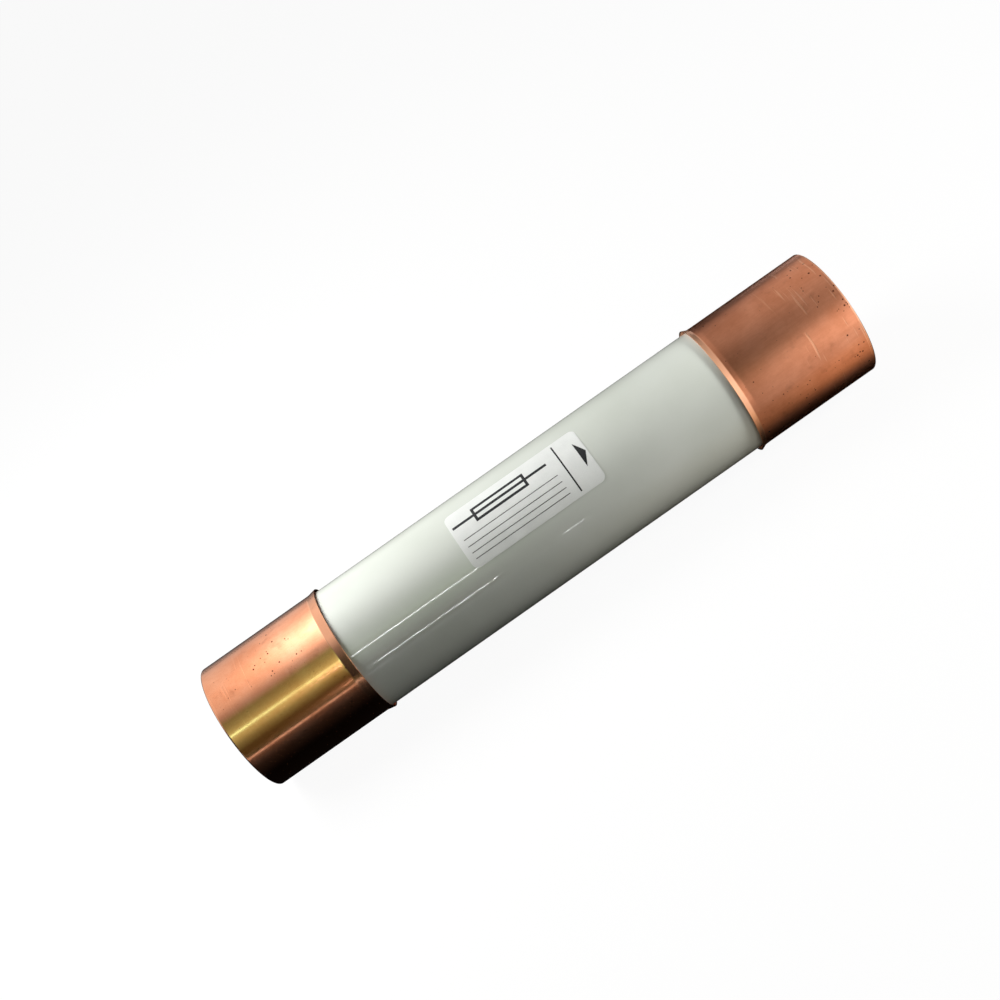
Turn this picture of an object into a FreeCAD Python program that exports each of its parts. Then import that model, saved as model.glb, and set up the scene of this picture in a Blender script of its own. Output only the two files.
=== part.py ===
import FreeCAD
import Part
import math
import os

# High-voltage current-limiting fuse, cartridge type, with a striker.
# The fuse lies along X. The striker end is at +X, and the origin is the
# middle of the barrel on its axis. All sizes are in millimetres.

overall_length = 330.0
fit_gap = 0.05

# Drawn copper end caps with a flared mouth.
cap_diameter = 63.5
cap_length = 63.0
cap_wall = 0.6
cap_base = 1.2
cap_corner = 0.8
plain_flare_length = 4.0
plain_flare_rise = 0.8
striker_flare_length = 5.0
striker_flare_rise = 1.2
striker_hole_radius = 5.0

# Porcelain barrel and what closes its ends.
barrel_wall = 6.8
barrel_chamfer = 0.5
inner_cap_length = 22.0
inner_cap_wall = 0.7
inner_cap_base = 1.0
inner_cap_corner = 1.2
gasket_thickness = 1.5
gasket_inset = 0.4

# Star core that carries the elements.
fin_count = 6
fin_thickness = 3.0
fin_to_barrel = 5.0
hub_radius = 11.0
hub_bore_radius = 3.0
root_fillet = 2.0
notch_depth = 1.0
notch_gap = 0.15

# Silver ribbon elements, wound in parallel on the fins.
element_count = 3
element_turns = 4
element_inset = 22.0
ribbon_width = 3.0
ribbon_thickness = 0.25
neck_width = 0.9
neck_length = 1.8
solder_radius = 1.2
solder_height = 0.6

# Contact spiders, pressed from copper sheet.
spider_sheet = 0.8
spider_ring_width = 3.6
finger_overlap = 0.4

# Quartz sand filling and its plug.
sand_gap = 0.3
sand_bore_gap = 0.1
plug_radius = 3.5
plug_wall = 0.4
plug_edge = 1.5

# Striker.
pin_radius = 4.0
pin_gap = 0.08
pin_recess = 0.5
pin_chamfer = 0.6
striker_stroke = 20.0
stop_gap = 0.1
piston_length = 5.0
piston_gap = 0.1
housing_radius = 7.0
housing_wall = 1.2
housing_gap = 0.2
housing_flange_radius = 9.4
housing_flange = 1.5
housing_rear_wall = 2.0
bush_length = 6.8
spring_length = 28.9
spring_end_gap = 0.05
spring_coils = 7
spring_steps = 14
spring_wire_height = 1.3
spring_wire_width = 1.7
spring_gap = 0.4
wire_radius = 0.4
wire_gap = 0.05
wire_anchor = 4.3
insulator_radius = 2.15
insulator_nose = 1.5
terminal_radius = 2.0
terminal_length = 4.0

# Paper label, wrapped over the upper front of the barrel.
label_length = 70.0
label_height = 30.0
label_thickness = 0.2
label_corner = 3.0
label_elevation = 62.6

# Radii that follow from the sizes above.
cap_radius = cap_diameter / 2
cap_inner_radius = cap_radius - cap_wall
barrel_radius = cap_inner_radius - fit_gap
bore_radius = barrel_radius - barrel_wall
inner_cap_radius = barrel_radius
inner_cap_bore = inner_cap_radius - inner_cap_wall
seat_radius = inner_cap_bore - fit_gap
fin_tip_radius = bore_radius - fin_to_barrel
element_radius = fin_tip_radius - notch_depth
plug_offset = bore_radius - plug_radius - plug_edge
finger_radius = element_radius - spider_sheet
housing_bore = housing_radius - housing_wall
recess_radius = housing_flange_radius + housing_gap
pin_hole_radius = striker_hole_radius + housing_gap

# Stations along X, from the end face inwards.
end_x = overall_length / 2
cap_floor_x = end_x - cap_base
inner_floor_x = cap_floor_x - inner_cap_base
barrel_end_x = inner_floor_x - gasket_thickness
rim_x = end_x - cap_length
inner_rim_x = cap_floor_x - inner_cap_length
core_end_x = inner_floor_x - spider_sheet
sand_end_x = barrel_end_x - sand_gap

# Ribbon path: fins carry it at even steps along X.
step_angle = 360.0 / fin_count
step_count = element_turns * fin_count
element_start_x = core_end_x - element_inset
step_x = 2 * element_start_x / step_count
land_half = fin_thickness / 2
land_corner_radius = math.hypot(element_radius, land_half)
land_half_angle = math.degrees(math.atan2(land_half, element_radius))
span_half_angle = step_angle / 2 - land_half_angle
span_length = 2 * land_corner_radius * math.sin(math.radians(span_half_angle))
span_radius = land_corner_radius * math.cos(math.radians(span_half_angle))
ribbon_slope = step_x / (fin_thickness + span_length)
ribbon_half_x = ribbon_width / 2 * math.sqrt(1 + ribbon_slope ** 2)
land_half_x = ribbon_half_x + ribbon_slope * land_half
notch_half_x = land_half_x + notch_gap
finger_end_x = element_start_x - land_half_x - finger_overlap
rebate_x = finger_end_x - notch_gap

# Stations of the striker, from its front bush backwards.
bush_rear_x = inner_floor_x - bush_length
piston_front_x = bush_rear_x - stop_gap - striker_stroke
piston_rear_x = piston_front_x - piston_length
spring_rear_x = piston_rear_x - spring_end_gap - spring_length
rear_wall_x = spring_rear_x - spring_end_gap
housing_rear_x = rear_wall_x - housing_rear_wall
insulator_rear_x = housing_rear_x - insulator_nose
terminal_rear_x = insulator_rear_x - terminal_length
pocket_x = terminal_rear_x - housing_gap * 3
pin_tip_x = end_x - pin_recess

x_axis = FreeCAD.Vector(1, 0, 0)
origin = FreeCAD.Vector(0, 0, 0)
arc_share = 1 - math.cos(math.radians(45))


def radial(angle):
    turn = math.radians(angle)
    return FreeCAD.Vector(0, math.cos(turn), math.sin(turn))


def tangential(angle):
    turn = math.radians(angle)
    return FreeCAD.Vector(0, -math.sin(turn), math.cos(turn))


def place(x, angle, out, across):
    return x_axis * x + radial(angle) * out + tangential(angle) * across


def flat_face(points):
    return Part.Face(Part.makePolygon(points + [points[0]]))


# A solid of revolution about X, from the corners of its half section.
def turned(corners):
    points = [FreeCAD.Vector(x, 0, radius) for x, radius in corners]
    return flat_face(points).revolve(origin, x_axis, 360)


# A corner at (x, radius) on a piece's +X side, rounded by two flats.
def rounded(x, radius, size):
    middle = (x - size * arc_share, radius - size * arc_share)
    return [(x, radius - size), middle, (x - size, radius)]


def chamfered(x, radius, size):
    return [(x, radius - size), (x - size, radius)]


def rod(radius, x_from, x_to, out=0.0, angle=0.0):
    base = place(x_from, angle, out, 0)
    return Part.makeCylinder(radius, x_to - x_from, base, x_axis)


def ring(outer, inner, x_from, x_to):
    steps = [(x_from, inner), (x_from, outer), (x_to, outer), (x_to, inner)]
    return turned(steps)


# The middles of its flats lie between the fins.
def prism_between_fins(flat_distance, x_from, x_to):
    corner_radius = flat_distance / math.cos(math.radians(step_angle / 2))
    corners = [place(x_from, fin * step_angle, corner_radius, 0) for fin in range(fin_count)]
    return flat_face(corners).extrude(x_axis * (x_to - x_from))


def on_other_end(shape):
    return shape.mirror(origin, x_axis)


def end_cap(hole_radius, flare_length, flare_rise):
    corners = [(end_x, hole_radius)]
    corners += rounded(end_x, cap_radius, cap_corner)
    corners.append((rim_x + flare_length, cap_radius))
    corners.append((rim_x, cap_radius + flare_rise))
    corners.append((rim_x, cap_inner_radius + flare_rise))
    corners.append((rim_x + flare_length, cap_inner_radius))
    corners += chamfered(cap_floor_x, cap_inner_radius, cap_corner - cap_wall)[::-1]
    corners.append((cap_floor_x, hole_radius))
    return turned(corners)


def inner_cap(hole_radius):
    corners = [(cap_floor_x, hole_radius)]
    corners += chamfered(cap_floor_x, inner_cap_radius, inner_cap_corner)
    corners.append((inner_rim_x, inner_cap_radius))
    corners.append((inner_rim_x, inner_cap_bore))
    corners += chamfered(inner_floor_x, inner_cap_bore, inner_cap_corner - inner_cap_wall)[::-1]
    corners.append((inner_floor_x, hole_radius))
    return turned(corners)


def plain_end_inner_cap():
    hole = rod(plug_radius + fit_gap, inner_rim_x, end_x, plug_offset, step_angle / 2)
    return inner_cap(0.0).cut(hole)


def filling_plug():
    hollow = plug_radius - plug_wall
    skin_x = inner_floor_x + plug_wall
    corners = [(inner_floor_x, 0), (inner_floor_x, plug_radius), (cap_floor_x, plug_radius)]
    corners += [(cap_floor_x, hollow), (skin_x, hollow), (skin_x, 0)]
    plug = turned(corners)
    plug.translate(radial(step_angle / 2) * plug_offset)
    return plug


def barrel():
    shoulder_x = inner_rim_x - fit_gap
    half = [(barrel_end_x, bore_radius)]
    half += chamfered(barrel_end_x, seat_radius, barrel_chamfer)
    half.append((shoulder_x, seat_radius))
    half.append((shoulder_x, barrel_radius))
    return turned(half + [(-x, radius) for x, radius in reversed(half)])


def gasket():
    outer = seat_radius - barrel_chamfer
    return ring(outer, bore_radius + gasket_inset, barrel_end_x, inner_floor_x)


# Hub and fins as one prism. The roots of the fins are filleted.
def star_prism(hub, half, tip, fillet, x_from, x_to):
    centre_out = math.sqrt((hub + fillet) ** 2 - (half + fillet) ** 2)
    share = hub / (hub + fillet)
    foot_out = centre_out * share
    foot_across = (half + fillet) * share
    middle_angle = math.atan2(half + fillet, centre_out) / 2 + math.radians(45)
    middle_out = centre_out - fillet * math.sin(middle_angle)
    middle_across = half + fillet - fillet * math.cos(middle_angle)
    edges = []
    for fin in range(fin_count):
        angle = fin * step_angle

        def at(out, across, turn=angle):
            return place(x_from, turn, out, across)
        edges.append(Part.makeLine(at(centre_out, -half), at(tip, -half)))
        edges.append(Part.makeLine(at(tip, -half), at(tip, half)))
        edges.append(Part.makeLine(at(tip, half), at(centre_out, half)))
        fillet_middle = at(middle_out, middle_across)
        foot = at(foot_out, foot_across)
        edges.append(Part.Arc(at(centre_out, half), fillet_middle, foot).toShape())
        next_angle = angle + step_angle
        hub_middle = at(hub, 0, angle + step_angle / 2)
        next_foot = at(foot_out, -foot_across, next_angle)
        edges.append(Part.Arc(foot, hub_middle, next_foot).toShape())
        next_middle = at(middle_out, -middle_across, next_angle)
        next_side = at(centre_out, -half, next_angle)
        edges.append(Part.Arc(next_foot, next_middle, next_side).toShape())
    face = Part.Face(Part.Wire(edges))
    return face.extrude(x_axis * (x_to - x_from))


# A slot across the tip of one fin, down to a flat floor.
def fin_slot(fin, floor_radius, x_from, x_to):
    corner = FreeCAD.Vector(x_from, floor_radius, -fin_thickness)
    slot = Part.makeBox(x_to - x_from, fin_tip_radius, 2 * fin_thickness, corner)
    slot.rotate(origin, x_axis, fin * step_angle)
    return slot


def first_fins():
    return range(0, fin_count, fin_count // element_count)


def star_core():
    star = star_prism(hub_radius, land_half, fin_tip_radius, root_fillet, -core_end_x, core_end_x)
    cutters = [rod(hub_bore_radius, -core_end_x, core_end_x)]
    cutters.append(rod(housing_radius + housing_gap, pocket_x, core_end_x))
    cutters.append(rod(recess_radius, inner_floor_x - housing_flange - housing_gap, core_end_x))
    for first in first_fins():
        for step in range(1, step_count):
            x = -element_start_x + step * step_x
            low = x - notch_half_x
            cutters.append(fin_slot(first + step, element_radius, low, x + notch_half_x))
        floor = finger_radius - fit_gap
        cutters.append(fin_slot(first, floor, -core_end_x, -rebate_x))
        cutters.append(fin_slot(first + step_count, floor, rebate_x, core_end_x))
    return star.cut(cutters)


# One side between two stations: a flat quad, or two triangles where the
# quad is twisted.
def skin(a, b, c, d):
    normal = (b - a).cross(c - a).normalize()
    if abs(normal.dot(d - a)) < 1e-7:
        return [flat_face([a, b, c, d])]
    return [flat_face([a, b, c]), flat_face([a, c, d])]


# A solid through a row of four-cornered stations.
def swept(stations):
    faces = [flat_face(stations[0]), flat_face(stations[-1])]
    for here, there in zip(stations, stations[1:]):
        for i in range(4):
            j = (i + 1) % 4
            faces += skin(here[i], here[j], there[j], there[i])
    shell = Part.makeShell(faces)
    shell.sewShape()
    solid = Part.makeSolid(shell)
    if solid.Volume < 0:
        solid.reverse()
    return solid


def ribbon_station(middle, half_width, thickness):
    low = middle - half_width
    high = middle + half_width
    return [low, high, high + thickness, low + thickness]


# A pair of vee cuts in the middle of a span, as three stations.
def neck_stations(start, end, lift):
    along = (end - start).normalize()
    across = lift.cross(along).normalize()
    if across.x < 0:
        across = across * -1
    middle = (start + end) * 0.5
    reach = along * (neck_length / 2)
    full = across * (ribbon_width / 2)
    narrow = across * (neck_width / 2)
    sections = [(middle - reach, full), (middle, narrow), (middle + reach, full)]
    return [ribbon_station(point, half, lift) for point, half in sections]


# One ribbon, flat on each fin that it crosses and straight from fin to fin.
# It is mitred where it bends over a fin's edge.
def fuse_element(first_fin):
    half_width = x_axis * ribbon_half_x
    land_shift = ribbon_slope * land_half
    mitre = ribbon_thickness / (1 + math.cos(math.radians(step_angle / 2)))
    stations = []
    leave = None
    for step in range(step_count + 1):
        angle = (first_fin + step) * step_angle
        x = -element_start_x + step * step_x
        up = radial(angle)
        before = (up + radial(angle - step_angle / 2)) * mitre
        after = (up + radial(angle + step_angle / 2)) * mitre
        if step == 0:
            before = up * ribbon_thickness
        if step == step_count:
            after = up * ribbon_thickness
        arrive = place(x - land_shift, angle, element_radius, -land_half)
        if leave is not None:
            lift = radial(angle - step_angle / 2) * ribbon_thickness
            stations += neck_stations(leave, arrive, lift)
        leave = place(x + land_shift, angle, element_radius, land_half)
        stations.append(ribbon_station(arrive, half_width, before))
        stations.append(ribbon_station(leave, half_width, after))
    return swept(stations)


# A tin spot on each ribbon's crossing nearest the middle of the core.
def solder_spot(first_fin):
    middle_step = step_count // 2
    x = -element_start_x + middle_step * step_x
    angle = (first_fin + middle_step) * step_angle
    base = place(x, angle, element_radius + ribbon_thickness, 0)
    return Part.makeCylinder(solder_radius, solder_height, base, radial(angle))


# A pressed disc with one bent finger for each ribbon. The fingers lie in
# the rebates of the fins, and the ribbons end on them.
def contact_spider(hole_radius):
    ring_radius = recess_radius + spider_ring_width
    body = ring(ring_radius, hole_radius, core_end_x, inner_floor_x)
    arm_foot = ring_radius - spider_ring_width / 3
    corners = [(inner_floor_x, arm_foot)]
    corners += chamfered(inner_floor_x, element_radius, spider_sheet / 2)
    corners += [(finger_end_x, element_radius), (finger_end_x, finger_radius)]
    corners += [(core_end_x, finger_radius), (core_end_x, arm_foot)]
    arms = []
    for fin in first_fins():
        turn = fin * step_angle
        face = flat_face([place(x, turn, out, -land_half) for x, out in corners])
        arms.append(face.extrude(tangential(turn) * fin_thickness))
    return body.fuse(arms).removeSplitter()


# Sand fills the barrel round the core. The path of the ribbons is left as
# a free channel.
def quartz_sand():
    half = land_half + sand_gap / 2
    fillet = root_fillet - sand_gap / 2
    tip = fin_tip_radius + sand_gap
    body = rod(bore_radius - sand_bore_gap, -sand_end_x, sand_end_x)
    star = star_prism(hub_radius + sand_gap, half, tip, fillet, -sand_end_x, sand_end_x)
    channel_x = element_start_x + land_half_x + sand_gap
    channel = rod(tip, -channel_x, channel_x)
    wedge = prism_between_fins(span_radius - sand_gap, -channel_x, channel_x)
    return body.cut([star, channel.cut(wedge)])


def striker_housing():
    flange_x = inner_floor_x - housing_flange
    wall_hole = insulator_radius + fit_gap
    steps = [(housing_rear_x, wall_hole), (housing_rear_x, housing_radius)]
    steps += [(flange_x, housing_radius), (flange_x, housing_flange_radius)]
    steps += [(inner_floor_x, housing_flange_radius), (inner_floor_x, housing_bore)]
    steps += [(rear_wall_x, housing_bore), (rear_wall_x, wall_hole)]
    return turned(steps)


def striker_front_bush():
    return ring(housing_bore - fit_gap, pin_radius + pin_gap, bush_rear_x, inner_floor_x)


# Indicating pin and piston in one piece, bored at the back for the wire.
def striker_pin():
    piston = housing_bore - piston_gap
    wire_hole = wire_radius + piston_gap
    hole_end = piston_rear_x + wire_anchor + fit_gap
    steps = [(piston_rear_x, wire_hole), (piston_rear_x, piston)]
    steps += [(piston_front_x, piston), (piston_front_x, pin_radius)]
    steps += [(pin_tip_x - pin_chamfer, pin_radius), (pin_tip_x, pin_radius - pin_chamfer)]
    steps += [(pin_tip_x, 0), (hole_end, 0), (hole_end, wire_hole)]
    return turned(steps)


# Flat-wound spring with open ends.
def striker_spring():
    outer = housing_bore - spring_gap
    inner = outer - spring_wire_width
    steps = spring_coils * spring_steps
    rise = (spring_length - spring_wire_height) / steps
    stations = []
    for step in range(steps + 1):
        turn = step * 360.0 / spring_steps
        low = spring_rear_x + step * rise
        high = low + spring_wire_height
        corners = [(low, inner), (low, outer), (high, outer), (high, inner)]
        stations.append([place(x, turn, radius, 0) for x, radius in corners])
    return swept(stations)


# Fine wire that holds the striker back until it melts.
def striker_release_wire():
    joint_x = terminal_rear_x + terminal_length / 2
    return rod(wire_radius, joint_x + wire_gap, piston_rear_x + wire_anchor)


def striker_rear_insulator():
    return ring(insulator_radius, wire_radius + wire_gap, insulator_rear_x, rear_wall_x)


def striker_terminal():
    return ring(terminal_radius, wire_radius + wire_gap, terminal_rear_x, insulator_rear_x)


def striker_circuit_wire():
    joint_x = terminal_rear_x + terminal_length / 2
    return rod(wire_radius, -inner_floor_x, joint_x - wire_gap)


def label():
    outer = barrel_radius + label_thickness
    sheet = ring(outer, barrel_radius, -label_length / 2, label_length / 2)
    width = 2 * barrel_radius * math.sin(label_height / 2 / barrel_radius)
    corner = FreeCAD.Vector(-label_length / 2, -width / 2, barrel_radius / 2)
    block = Part.makeBox(label_length, width, barrel_radius, corner)
    upright = []
    for edge in block.Edges:
        if abs(edge.tangentAt(edge.FirstParameter).z) > 0.9:
            upright.append(edge)
    block = block.makeFillet(label_corner, upright)
    piece = sheet.common(block)
    piece.rotate(origin, x_axis, 90 - label_elevation)
    return piece


def save(shape, node):
    solid = shape.Solids[0] if len(shape.Solids) == 1 else shape
    solid.exportStep("parts/" + node + ".step")
    print(node, len(shape.Solids), shape.isValid(), round(shape.Volume, 2))


os.makedirs("parts", exist_ok=True)
save(barrel(), "barrel")
plain_end_cap = end_cap(0.0, plain_flare_length, plain_flare_rise)
striker_end_cap = end_cap(striker_hole_radius, striker_flare_length, striker_flare_rise)
save(on_other_end(plain_end_cap), "plain_end_cap")
save(striker_end_cap, "striker_end_cap")
save(on_other_end(plain_end_inner_cap()), "plain_end_inner_cap")
save(inner_cap(pin_hole_radius), "striker_end_inner_cap")
save(on_other_end(filling_plug()), "filling_plug")
save(on_other_end(gasket()), "plain_end_gasket")
save(gasket(), "striker_end_gasket")
save(star_core(), "star_core")
for number, first_fin in enumerate(first_fins(), 1):
    save(fuse_element(first_fin), "fuse_element_" + str(number))
    save(solder_spot(first_fin), "solder_spot_" + str(number))
save(on_other_end(contact_spider(wire_radius + wire_gap)), "plain_end_contact_spider")
save(contact_spider(recess_radius), "striker_end_contact_spider")
save(quartz_sand(), "quartz_sand")
save(striker_housing(), "striker_housing")
save(striker_front_bush(), "striker_front_bush")
save(striker_pin(), "striker_pin")
save(striker_spring(), "striker_spring")
save(striker_release_wire(), "striker_release_wire")
save(striker_rear_insulator(), "striker_rear_insulator")
save(striker_terminal(), "striker_terminal")
save(striker_circuit_wire(), "striker_circuit_wire")
save(label(), "label")
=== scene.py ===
import math

import bpy
from mathutils import Matrix, Vector


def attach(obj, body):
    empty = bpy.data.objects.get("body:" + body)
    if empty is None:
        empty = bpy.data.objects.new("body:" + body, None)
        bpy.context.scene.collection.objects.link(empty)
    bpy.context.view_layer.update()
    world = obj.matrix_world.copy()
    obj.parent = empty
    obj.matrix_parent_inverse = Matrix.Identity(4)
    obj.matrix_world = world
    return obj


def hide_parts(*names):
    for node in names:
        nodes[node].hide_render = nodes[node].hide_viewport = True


# High-voltage cartridge fuse, lying on a pale studio floor. Lengths of the fuse
# are millimetres and lengths of the studio metres; levels are shares of white.
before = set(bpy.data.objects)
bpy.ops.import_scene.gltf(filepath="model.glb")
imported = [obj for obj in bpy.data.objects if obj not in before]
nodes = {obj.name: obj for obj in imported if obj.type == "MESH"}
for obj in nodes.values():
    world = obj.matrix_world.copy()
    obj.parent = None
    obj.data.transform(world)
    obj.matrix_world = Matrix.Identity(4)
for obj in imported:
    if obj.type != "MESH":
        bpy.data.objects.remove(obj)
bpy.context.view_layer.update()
millimetre = 0.001
reach = 1e-5  # metres, within which a vertex counts as lying at a place
weldReach = 1e-6
turnedSmoothing = math.radians(28)
flatSmoothing = math.radians(30)

# A flare's corners are (distance from the mouth, rise).
capShape = {
    "radius": 31.75,
    "innerRadius": 31.15,
    "endX": 165.0,
    "floorX": 163.8,
    "rimX": 102.0,
    "cornerRadius": 0.8,
    "innerCornerRadius": 0.2,
    "plainFlare": [(0.0, 0.8), (4.0, 0.0)],
    "strikerFlare": [(0.0, 1.2), (2.5, 0.1), (5.0, 0.0)],
    "lipRounding": 0.2,
    "flareBend": 0.35,
    "strikerHole": 5.0,
    "holeEdge": 0.35,
}
barrelShape = {
    "radius": 31.1,
    "boreRadius": 24.3,
    "seatRadius": 30.35,
    "endX": 161.3,
    "shoulderX": 141.75,
    "edge": 0.5,
}
pinShape = {
    "radius": 4.0,
    "pistonRadius": 5.7,
    "rearX": 130.9,
    "pistonX": 135.9,
    "tipX": 164.5,
    "tipRounding": 0.9,
    "pistonEdge": 0.3,
    "wireHole": 0.5,
    "wireHoleEndX": 135.25,
}
labelShape = {
    "length": 70.0,
    "height": 30.0,
    "thickness": 0.2,
    "corner": 3.0,
    "elevation": 62.6,
    "cutSpacing": 0.5,
}
cameraView = {
    "distance": 0.648,  # from the fuse's axis
    "elevation": 40.0,
    "roll": 35.07,
    "lens": 50.98,
    "sensor": 36,
    "shiftX": -0.0383,
    "shiftY": 0.0192,
}
restZ = -0.03295  # the floor, which the flared rims touch


# The camera looks square at the fuse's middle and is rolled, so that the
# striker end points to the upper right.
def makeCamera():
    v = cameraView
    tilt, roll = math.radians(v["elevation"]), math.radians(v["roll"])
    back = Vector((0, -math.cos(tilt), math.sin(tilt)))
    axis = Vector((1, 0, 0))
    rise = back.cross(axis)
    right = math.cos(roll) * axis - math.sin(roll) * rise
    up = math.sin(roll) * axis + math.cos(roll) * rise
    bpy.ops.object.camera_add()
    camera = bpy.context.object
    camera.name = "studioCamera"
    camera.data.lens = v["lens"]
    camera.data.sensor_width = v["sensor"]
    camera.data.shift_x = v["shiftX"]
    camera.data.shift_y = v["shiftY"]
    place = Matrix((right, up, back)).transposed().to_4x4()
    place.translation = back * v["distance"]
    camera.matrix_world = place
    bpy.context.scene.camera = camera


def deselectAll():
    if bpy.context.object and bpy.context.object.mode != "OBJECT":
        bpy.ops.object.mode_set(mode="OBJECT")
    bpy.ops.object.select_all(action="DESELECT")


def selectOnly(piece):
    deselectAll()
    piece.select_set(True)
    bpy.context.view_layer.objects.active = piece


# Selects the vertices of the active mesh that lie at one of some places.
def selectPlaces(piece, places):
    bpy.ops.mesh.select_all(action="DESELECT")
    bpy.ops.object.mode_set(mode="OBJECT")
    for vertex in piece.data.vertices:
        vertex.select = any((vertex.co - place).length < reach for place in places)
    bpy.ops.object.mode_set(mode="EDIT")


# Selects the ring of edges that a corner of the half section became.
def selectRing(piece, x, radius):
    bpy.ops.mesh.select_mode(type="VERT")
    bpy.ops.mesh.select_all(action="DESELECT")
    bpy.ops.object.mode_set(mode="OBJECT")
    for vertex in piece.data.vertices:
        out = math.hypot(vertex.co.y, vertex.co.z)
        vertex.select = abs(vertex.co.x - x) < reach and abs(out - radius) < reach
    bpy.ops.object.mode_set(mode="EDIT")
    bpy.ops.mesh.select_mode(type="EDGE")


# A turned piece: its half section is drawn from one vertex by extrusion and
# spun about X, and then its corners are bevelled. A corner is (x, radius)
# or (x, radius, rounding).
def turnPiece(name, corners, steps=256, roundingSteps=6):
    deselectAll()
    bpy.ops.mesh.primitive_plane_add(size=millimetre, location=(0, 0, 0))
    piece = bpy.context.object
    piece.name = name
    piece.data.name = name
    points = [Vector((corner[0], 0, corner[1])) * millimetre for corner in corners]
    bpy.ops.object.mode_set(mode="EDIT")
    bpy.ops.mesh.select_mode(type="VERT")
    bpy.ops.mesh.select_all(action="SELECT")
    bpy.ops.mesh.merge(type="CENTER")
    bpy.ops.mesh.select_all(action="SELECT")
    bpy.ops.transform.translate(value=points[0])
    for here, there in zip(points, points[1:]):
        bpy.ops.mesh.extrude_region_move(TRANSFORM_OT_translate={"value": there - here})
    selectPlaces(piece, [points[0], points[-1]])
    bpy.ops.mesh.edge_face_add()
    bpy.ops.mesh.select_all(action="SELECT")
    bpy.ops.mesh.spin(steps=steps, angle=math.tau, center=(0, 0, 0), axis=(1, 0, 0))
    bpy.ops.mesh.select_all(action="SELECT")
    bpy.ops.mesh.remove_doubles(threshold=weldReach)
    bpy.ops.mesh.select_all(action="SELECT")
    bpy.ops.mesh.delete_loose()
    bpy.ops.mesh.select_all(action="SELECT")
    bpy.ops.mesh.normals_make_consistent(inside=False)
    for corner, point in zip(corners, points):
        if len(corner) == 3:
            selectRing(piece, point.x, point.z)
            bpy.ops.mesh.bevel(offset=corner[2] * millimetre, segments=roundingSteps)
    bpy.ops.object.mode_set(mode="OBJECT")
    selectOnly(piece)
    bpy.ops.object.shade_smooth_by_angle(angle=turnedSmoothing)
    # Long faces keep their own normals, so that only the roundings bend the light.
    shading = piece.modifiers.new("Shading", "WEIGHTED_NORMAL")
    shading.keep_sharp = True
    bpy.ops.object.modifier_apply(modifier="Shading")
    print(name, len(piece.data.polygons), "faces")
    return piece


# The half section of a cup that opens towards the fuse's middle; side is -1 at
# the plain end and 1 at the striker end.
def capCorners(holeRadius, flare, side):
    c = capShape
    roundings = [c["lipRounding"]] + [c["flareBend"]] * (len(flare) - 1)
    outside, inside = (
        [(c["rimX"] + x, radius + rise, r) for (x, rise), r in zip(flare, roundings)]
        for radius in (c["radius"], c["innerRadius"])
    )
    corners = [(c["endX"], holeRadius), (c["endX"], c["radius"], c["cornerRadius"])]
    corners += outside[::-1] + inside
    corners += [(c["floorX"], c["innerRadius"], c["innerCornerRadius"]), (c["floorX"], holeRadius)]
    if holeRadius:
        corners[0] += (c["holeEdge"],)
    return [(side * corner[0],) + corner[1:] for corner in corners]


def makeCaps():
    c = capShape
    plainCap = turnPiece("plainEndCap", capCorners(0.0, c["plainFlare"], -1))
    strikerCap = turnPiece("strikerEndCap", capCorners(c["strikerHole"], c["strikerFlare"], 1))
    return plainCap, strikerCap


def makeBarrel():
    b = barrelShape
    half = [
        (b["endX"], b["boreRadius"]),
        (b["endX"], b["seatRadius"], b["edge"]),
        (b["shoulderX"], b["seatRadius"]),
        (b["shoulderX"], b["radius"]),
    ]
    other = [(-corner[0],) + corner[1:] for corner in reversed(half)]
    return turnPiece("porcelainBarrel", half + other, roundingSteps=3)


def makePin():
    p = pinShape
    corners = [
        (p["rearX"], p["wireHole"]),
        (p["rearX"], p["pistonRadius"], p["pistonEdge"]),
        (p["pistonX"], p["pistonRadius"], p["pistonEdge"]),
        (p["pistonX"], p["radius"]),
        (p["tipX"], p["radius"], p["tipRounding"]),
        (p["tipX"], 0.0),
        (p["wireHoleEndX"], 0.0),
        (p["wireHoleEndX"], p["wireHole"]),
    ]
    return turnPiece("strikerPin", corners, steps=96, roundingSteps=4)


# Wraps a flat piece, drawn in the XY plane, round the barrel at its place in
# front: the bend works on Z, so the piece stands up first.
def wrapRoundBarrel(piece, lift):
    radius = (barrelShape["radius"] + lift) * millimetre
    selectOnly(piece)
    piece.data.transform(Matrix.Rotation(math.radians(90), 4, "X"))
    heights = [vertex.co.z for vertex in piece.data.vertices]
    bend = piece.modifiers.new("Wrap", "SIMPLE_DEFORM")
    bend.deform_method = "BEND"
    bend.deform_axis = "X"
    bend.angle = (max(heights) - min(heights)) / radius
    bpy.ops.object.modifier_apply(modifier="Wrap")
    piece.data.transform(Matrix.Translation((0, -radius, 0)))
    piece.data.transform(Matrix.Rotation(math.radians(-labelShape["elevation"]), 4, "X"))


# Cuts a flat piece across Y, so that it can follow the barrel's curve.
def cutAcross(piece):
    spacing = labelShape["cutSpacing"]
    selectOnly(piece)
    bpy.ops.object.mode_set(mode="EDIT")
    count = int(labelShape["height"] / 2 / spacing)
    for i in range(-count, count + 1):
        bpy.ops.mesh.select_all(action="SELECT")
        place = (0, i * spacing * millimetre, 0)
        bpy.ops.mesh.bisect(plane_co=place, plane_no=(0, 1, 0))
    bpy.ops.object.mode_set(mode="OBJECT")


# Gives a flat sheet its cuts, its bend round the barrel and its thickness.
def finishSheet(piece, lift, thickness):
    cutAcross(piece)
    wrapRoundBarrel(piece, lift)
    wall = piece.modifiers.new("Wall", "SOLIDIFY")
    wall.thickness = thickness * millimetre
    wall.offset = 1
    bpy.ops.object.modifier_apply(modifier="Wall")
    selectOnly(piece)
    bpy.ops.object.shade_smooth_by_angle(angle=flatSmoothing)


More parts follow.
